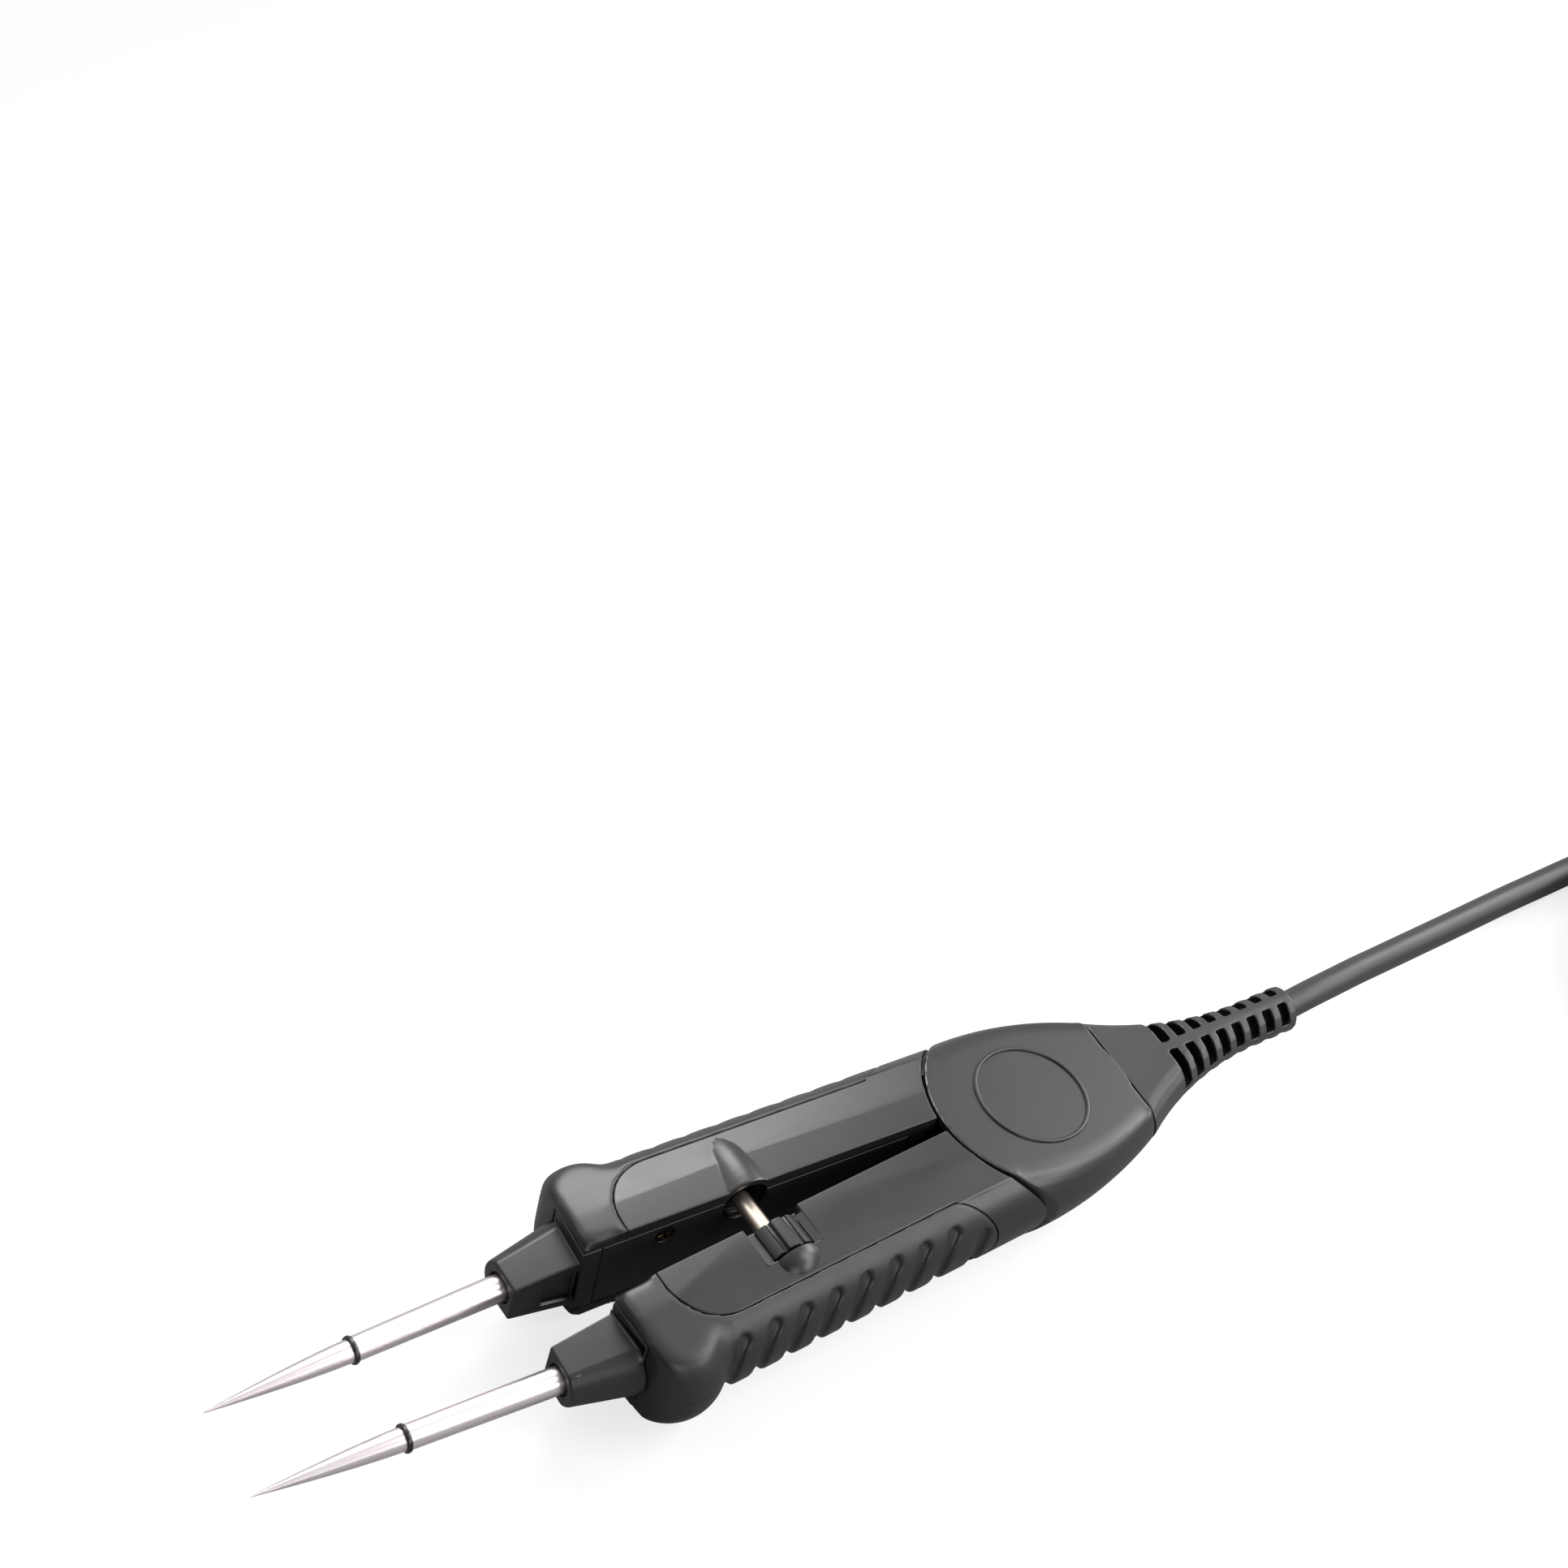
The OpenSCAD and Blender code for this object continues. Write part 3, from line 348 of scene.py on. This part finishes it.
# The shoulder is the crease outside a radius. It is followed in steps and rounded out to a reach in a number
# of passes, but the margin beside the pieces that meet the hub stays. In metres.
SHOULDER_FROM, CREASE_STEP, SHOULDER, PASSES, MARGIN = 0.0132, 0.0005, 0.0024, 100, 0.0011
neighbours = bmesh.new()
for node in ("strain_relief", "left_arm_shell", "right_arm_shell"):
    neighbours.from_mesh(nodes[node].data)
rims = BVHTree.FromBMesh(neighbours)
neighbours.free()
for half, name in (("top", "hub_upper"), ("bottom", "hub_lower")):
    node = "hub_" + half + "_shell"
    sharp = cad_copy(node)
    places = []
    for e in sharp.edges:
        a, b = (v.co for v in e.verts)
        outer = all(f.normal.z * (a.z - TOOL.z) > 0 and abs(f.normal.z) > 0.5 for f in e.link_faces)
        bent = 15 < math.degrees(e.calc_face_angle(0)) < 60
        if outer and bent and (a - TOOL).xy.length > SHOULDER_FROM:
            steps = max(1, round((b - a).length / CREASE_STEP))
            places += [a.lerp(b, k / steps) for k in range(steps + 1)]
    sharp.free()
    crease = KDTree(len(places))
    for k, place in enumerate(places):
        crease.insert(place, k)
    crease.balance()
    bm = even_form(node, 0.26, 2)
    shoulder = [v for v in bm.verts if crease.find(v.co)[2] < SHOULDER
                and rims.find_nearest(v.co)[3] > MARGIN]
    eased(bm, shoulder, PASSES)
    for v in bm.verts:
        above = (v.co - disc_mid).dot(disc_up)
        if half == "top" and above > -DISC_SKIN and (v.co - disc_mid).length < DISC_FLAT:
            v.co -= disc_up * above
    dress(stand_in(as_piece(name, bm), node, "hub"), hub_nylon)
# The raised ring's radius, its height and the depth of its foot, in mm.
RING, RISE, FOOT = 10.8, 0.35, -0.2
disc_line = [(RING - 0.75, FOOT), (RING - 0.7, 0.5 * RISE), (RING - 0.6, 0.9 * RISE), (RING - 0.45, RISE),
             (RING - 0.25, RISE), (RING - 0.1, 0.9 * RISE), (RING, 0.5 * RISE), (RING + 0.05, FOOT),
             (RING - 0.75, FOOT)]
trim(as_piece("disc_ring", turned(disc_line, disc_mid, disc_up)), "hub", hub_nylon)

# Low steps stand in the seams, out of sight, and close them to the light: on the hub's front above, on the
# arms' rear faces below, so that they pass each other, and on the hub's rear face up to the strain relief.

# In metres: the round faces' axis and radii and the flat face's place; how near a face's corners lie to it,
# the half width of the tongues, the top of the arms' steps, and the steps' heights.
HUB_MID, HUB_FRONT, ARM_REAR, HUB_REAR = TOOL.x + 0.0005, 0.02, 0.0206, 0.02
ON_FACE, TONGUES, ARM_STEP_TOP, FRONT_STEP, REAR_STEP = 3e-5, 0.0115, -0.003, 0.0003, 0.0004


def seam_step(node, body, round_face, flat_face, height):
    """A step of a height in metres on a node's round or flat end face, inset from the face's outline."""
    bm = cad_copy(node)
    wide, tall = (0.95, 0.88) if round_face else (0.9, 0.75)
    if round_face:
        face = {v for v in bm.verts if v.co.x < HUB_MID and abs(v.co.y) > TONGUES
                and abs(math.hypot(v.co.x - HUB_MID, v.co.y) - round_face) < ON_FACE}
    else:
        face = {v for v in bm.verts if abs(v.co.x - TOOL.x - flat_face) < ON_FACE}
    bmesh.ops.delete(bm, geom=[f for f in bm.faces if not face.issuperset(f.verts)], context="FACES")
    for v in bm.verts:
        v.co.y *= wide
        v.co.z = TOOL.z + (v.co.z - TOOL.z) * tall
        if round_face:
            v.co.x = HUB_MID - math.sqrt(round_face ** 2 - v.co.y ** 2)
    if body != "hub":
        bmesh.ops.bisect_plane(bm, geom=bm.verts[:] + bm.edges[:] + bm.faces[:], dist=1e-7,
                               plane_co=TOOL + Vector((0, 0, ARM_STEP_TOP)), plane_no=(0, 0, 1),
                               clear_outer=True)
    bmesh.ops.solidify(bm, geom=bm.faces[:], thickness=-height)
    trim(as_piece(node + "_step", bm), body, hub_nylon)


seam_step("hub_top_shell", "hub", HUB_FRONT, None, FRONT_STEP)
for side in ("left", "right"):
    seam_step(side + "_arm_shell", side + "_arm", ARM_REAR, None, FRONT_STEP)
for half in ("top", "bottom"):
    seam_step("hub_" + half + "_shell", "hub", None, HUB_REAR, REAR_STEP)

# Inside the hub. Steel pins and screws, the coil spring that opens the arms, and a small board where the
# lead's cores meet the arms' red wires; a clamp round the lead's end takes the pull.


def metal(name, colour, stain, rough, mark_mm, marks):
    """Plated or turned metal: fine marks, faint stains and a roughness that wanders."""
    m, tree, mm = material(name)
    wide = add(tree, "TexNoise", Vector=mm, Scale=0.12, Detail=4).outputs["Fac"]
    fine = add(tree, "TexNoise", Vector=mm, Scale=1 / mark_mm, Detail=4).outputs["Fac"]
    spread = add(tree, "MapRange", Value=fine, To_Min=rough * 0.92, To_Max=rough * 1.08).outputs["Result"]
    bump = add(tree, "Bump", Height=fine, Strength=marks, Distance=0.00001)
    tone = add(tree, "ValToRGB", Fac=wide, stops=((0.3, stain), (0.65, colour))).outputs["Color"]
    close(tree, add(tree, "BsdfPrincipled", Base_Color=tone, Metallic=1.0, Roughness=spread,
                    Normal=bump.outputs["Normal"]))
    return m


def striped(name, colour, other, rough, stripe_mm):
    """Woven, laid or drawn material: two tones in stripes of the given width, which also stand up."""
    m, tree, mm = material(name)
    rows = add(tree, "TexWave", Vector=mm, Scale=0.16 / stripe_mm, Distortion=1.5, Detail=2).outputs["Fac"]
    bump = add(tree, "Bump", Height=rows, Strength=0.3, Distance=0.0001)
    tone = add(tree, "ValToRGB", Fac=rows, stops=((0.2, colour), (0.8, other))).outputs["Color"]
    close(tree, add(tree, "BsdfPrincipled", Base_Color=tone, Roughness=rough, Normal=bump.outputs["Normal"]))
    return m


# Drawn steel, bright with fine marks; glass cloth in green epoxy; red insulation with a drawn grain.
steel = metal("drawn_steel", "#9c9ca0", "#87878b", 0.3, 0.3, 0.1)
board = striped("glass_epoxy_board", "#1f4a2c", "#27583a", 0.4, 0.8)
insulation = striped("red_wire_insulation", "#8e2b22", "#a03328", 0.45, 1.5)
for name in ("hub_screws", "left_pivot_pin", "right_pivot_pin", "return_spring"):
    dress(nodes[name], steel)
dress(nodes["terminal_board"], board)
for name in ("left_hub_wire", "right_hub_wire", "left_wire", "right_wire"):
    dress(nodes[name], insulation)
dress(nodes["cord_end"], jacket)
dress(nodes["cable_clamp"], hub_nylon)

# Strain relief. One rubber moulding that turns from the hub's flat end to the round lead, with rows of
# windows cut through to its core so that it bends in an even curve. Its flange is held between the shells.
bm = even_form("strain_relief", 0.2, 2)
# A face lies in a window where rays that lean out from it meet walls on two sides or more, or where the ray
# straight out meets one; those faces get a near-black material, which is painted shade. The rays' start and
# reaches are in metres.
RAY_FROM, LEAN, SIDE_REACH, OUT_REACH = 0.0002, 3, 0.005, 0.006
walls = BVHTree.FromBMesh(bm)
for f in bm.faces:
    start = f.calc_center_median() + f.normal * RAY_FROM
    across = f.normal.orthogonal().normalized()
    turns = [across, f.normal.cross(across), -across, across.cross(f.normal)]
    hits = sum(walls.ray_cast(start, f.normal + LEAN * t, SIDE_REACH)[0] is not None for t in turns)
    f.material_index = 1 if hits > 1 or walls.ray_cast(start, f.normal, OUT_REACH)[0] else 0
relief = stand_in(as_piece("boot", bm), "strain_relief", "hub")
relief.data.materials.append(jacket)
# Inside the windows the rubber is dead matt and painted near black: painted shade for the windows' depth.
relief.data.materials.append(moulded("painted_window_shade", "#070707", "#0a0a0a", 0.8, 0.05, 0.4, 0.12))

# Arms. Each is a nylon shell with a flat strip, a facet and a round outer side, a plate in its inner face
# held by one cross-head screw, and a tapered nose; the socket, contact and wire of the cartridge lie inside.
# Moulded nylon as on the hub, and turned brass; on the cross-heads the brass is painted dark, a painted shade
# of the recess they sit in.
arm_nylon = moulded("moulded_nylon_arm", "#1c1b1c", "#1f1e1f", 0.33, 0.5, 0.35, 0.16)
brass = metal("turned_brass", "#a9834a", "#8d6b39", 0.25, 0.3, 0.1)
recess_shaded_brass = metal("brass_painted_recess_shade", "#4d3b28", "#33271b", 0.36, 0.3, 0.1)
for side in ("left", "right"):
    arm = side + "_arm"
    dress(softened(side + "_shell", side + "_arm_shell", arm, 0.3), arm_nylon)
    dress(softened(side + "_cover", side + "_inner_cover", arm, 0.2), arm_nylon)
    dress(softened(side + "_nosepiece", side + "_nose", arm, 0.4), arm_nylon)
    dress(softened(side + "_cross_head", side + "_cover_screw", arm, 0.1), recess_shaded_brass)
    dress(nodes[side + "_socket"], brass)
    dress(nodes[side + "_contact"], brass)

# Grips. Soft rubber moulded over the shells, with a row of finger grooves along the side and a guard that
# flares out in front of the fingers. Every edge is eased, and the guard's upper round is broad.
# Thermoplastic rubber: blacker than the nylon and a shade duller, with a coarser grain.
grip_rubber = moulded("thermoplastic_rubber", "#191819", "#1c1b1c", 0.38, 0.5, 0.4, 0.2)
# The guard begins here along x, and within the skin over the hard pieces it keeps its shape. In metres.
GUARD, SKIN = -0.026, 0.0012
for side in ("left", "right"):
    bm = even_form(side + "_grip", 0.3, 7)
    hard = bmesh.new()
    for other in ("_arm_shell", "_nose", "_inner_cover"):
        hard.from_mesh(nodes[side + other].data)
    kept = BVHTree.FromBMesh(hard)
    hard.free()
    guard = [v for v in bm.verts if v.co.x < GUARD and kept.find_nearest(v.co)[3] > SKIN]
    for above, times in ((0.009, 12), (0.012, 60)):
        eased(bm, [v for v in guard if v.co.z > above], times)
    grip = stand_in(as_piece(side + "_soft_grip", bm), side + "_grip", side + "_arm")
    dress(grip, grip_rubber)

# Cartridges. A plated steel sleeve that narrows a little, a dark ring where the tip is joined on, and a
# tip turned to a long point. They push into the sockets from the front and pull out to be changed.
# Radii, and places along the axis from the nose's mouth, in mm.
SLEEVE, WAIST, TAIL, POINT = 2.4, 2.15, 1.0, 0.12
RING_AT, RING_WIDE, REACH = 27.4, 0.9, 54.3
# Plate: bright, with a soft blur and a faint pink cast; the ring is blackened steel with turning marks.
plate = metal("polished_plate", "#e8e0e2", "#ded4d7", 0.32, 0.5, 0.02)
blackened = metal("blackened_steel", "#4e4c4e", "#3c3a3c", 0.3, 0.3, 0.1)
sleeve_line = [(0, -27), (TAIL - 0.2, -27), (TAIL, -26.8), (TAIL, -22), (SLEEVE - 0.2, -22), (SLEEVE, -21.8),
               (SLEEVE, 2), (WAIST, RING_AT), (0, RING_AT)]
foot = RING_AT + RING_WIDE
joint_line = [(SLEEVE - 0.15 + 0.25 * math.sin(math.radians(a)),
               RING_AT + RING_WIDE / 2 * (1 - math.cos(math.radians(a)))) for a in range(0, 181, 20)]
joint_line = [(0, RING_AT)] + joint_line + [(0, foot)]
tip_line = [(0, foot)] + [(POINT + (WAIST - 0.15 - POINT) * (1 - (k / 24) ** 1.45),
                           foot + k / 24 * (REACH - foot)) for k in range(25)] + [(0, REACH)]
for side in ("left", "right"):
    lo, hi = (Vector(c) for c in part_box(side + "_ring"))
    end = min((v.co for v in nodes[side + "_tip"].data.vertices), key=lambda p: p.x)
    rim = [v.co for v in nodes[side + "_tip"].data.vertices if (v.co - end).length < 0.0004]
    point = sum(rim, Vector()) / len(rim)
    along = (point - (lo + hi) / 2).normalized()
    mouth = (lo + hi) / 2 - along * (RING_AT + RING_WIDE / 2) / 1000
    body = side + "_cartridge"
    for name, profile, node, slot, paint in (("sleeve", sleeve_line, "_sleeve", "plated", plate),
                                             ("joint", joint_line, "_ring", "ring", blackened),
                                             ("point", tip_line, "_tip", "plated", plate)):
        piece = as_piece(body + "_" + name, turned(profile, mouth, along))
        dress(stand_in(piece, side + node, body), paint)

# Adjuster. A fluted nylon wheel in the right arm's notch turns on a plated screw that crosses the gap into
# the left arm and sets how far the arms close. A low dome on the arm covers the screw's outer bearing.
# Plate as on the cartridges, with a warm cast.
rod = metal("warm_cast_plate", "#eadfd4", "#dccbb8", 0.32, 0.5, 0.02)
dress(softened("screw_rod", "adjuster_screw", "adjuster_screw", 0.12), rod)
lo, hi = (Vector(c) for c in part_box("thumbwheel"))
wheel_mid = (lo + hi) / 2
OPEN, WIDER = math.radians(2.93), 1.05
outward = Vector((math.sin(OPEN), -math.cos(OPEN), 0))
ahead = Vector((-math.cos(OPEN), -math.sin(OPEN), 0))
wheel = dress(softened("wheel", "thumbwheel", "thumbwheel", 0.25), arm_nylon)
# The wheel stands a little closer to the notch's ends than the CAD wheel, as it does in the photo.
for v in wheel.data.vertices:
    reach = v.co - wheel_mid
    axial = outward * reach.dot(outward)
    v.co = wheel_mid + axial + (reach - axial) * WIDER
# Cheeks at the notch's ends slope down to the wheel, concentric with it. In mm: half the notch, the cheeks'
# inner radius and top, how far they go into the shell, and their start and length across it.
NOTCH, CHEEK, TOP, INTO, CHEEK_FROM, CHEEK_LONG = 5.44, 5.5, 4.2, 0.3, -2.6, 6.2
bm = bmesh.new()
for way in (ahead, -ahead):
    arc = [(CHEEK * math.cos(math.radians(a)), CHEEK * math.sin(math.radians(a))) for a in range(14, 43, 4)]
    outline = arc + [(NOTCH + INTO, TOP), (NOTCH + INTO, arc[0][1])]
    base = wheel_mid + outward * CHEEK_FROM / 1000
    face = bm.faces.new([bm.verts.new(base + (way * x + Vector((0, 0, z))) / 1000) for x, z in outline])
    grown = bmesh.ops.extrude_face_region(bm, geom=[face], use_keep_orig=True)["geom"]
    fresh = [v for v in grown if isinstance(v, bmesh.types.BMVert)]
    bmesh.ops.translate(bm, verts=fresh, vec=outward * CHEEK_LONG / 1000)
bmesh.ops.recalc_face_normals(bm, faces=bm.faces)
trim(as_piece("notch_cheeks", bm), "right_arm", arm_nylon)
# The dome's radius, length, wall and distance from the wheel's middle, in mm.
DOME, DOME_LONG, WALL, DOME_FROM = 5.5, 5.0, 0.9, 3.65
dome_line = [(DOME - WALL, 0)]
for radius, long, angles in ((DOME, DOME_LONG, range(0, 91, 6)),
                             (DOME - WALL, DOME_LONG - WALL, range(90, -1, -6))):
    dome_line += [(radius * math.cos(math.radians(a)), long * math.sin(math.radians(a))) for a in angles]
dome_foot = wheel_mid + outward * DOME_FROM / 1000
trim(as_piece("bearing_dome", turned(dome_line, dome_foot, outward)), "right_arm", arm_nylon)

# Coil strap and connector, outside the photo. A woven strap holds the coil. The lead ends in a screw-on
# coaxial connector: a rubber boot, a plated body with its white insulator and brass pin, and a knurled nut.
# Woven polyester: dull black ribs of half a millimetre. White insulator: smooth and waxy.
strap = stand_in(as_piece("strap", even_form("coil_tie", 0.2, 5)), "coil_tie", "hub")
dress(strap, striped("woven_strap", "#161617", "#242426", 0.85, 0.5))
plug_boot = dress(softened("plug_boot", "connector_boot", "hub", 0.3), jacket)
plug_body = dress(softened("plug_body", "connector_body", "hub", 0.15), plate)
nut = dress(softened("nut", "coupling_nut", "coupling_nut", 0.12), plate)
dress(nodes["connector_insulator"], striped("white_insulator", "#e4e2dc", "#efede8", 0.4, 1.2))
dress(nodes["connector_pin"], brass)
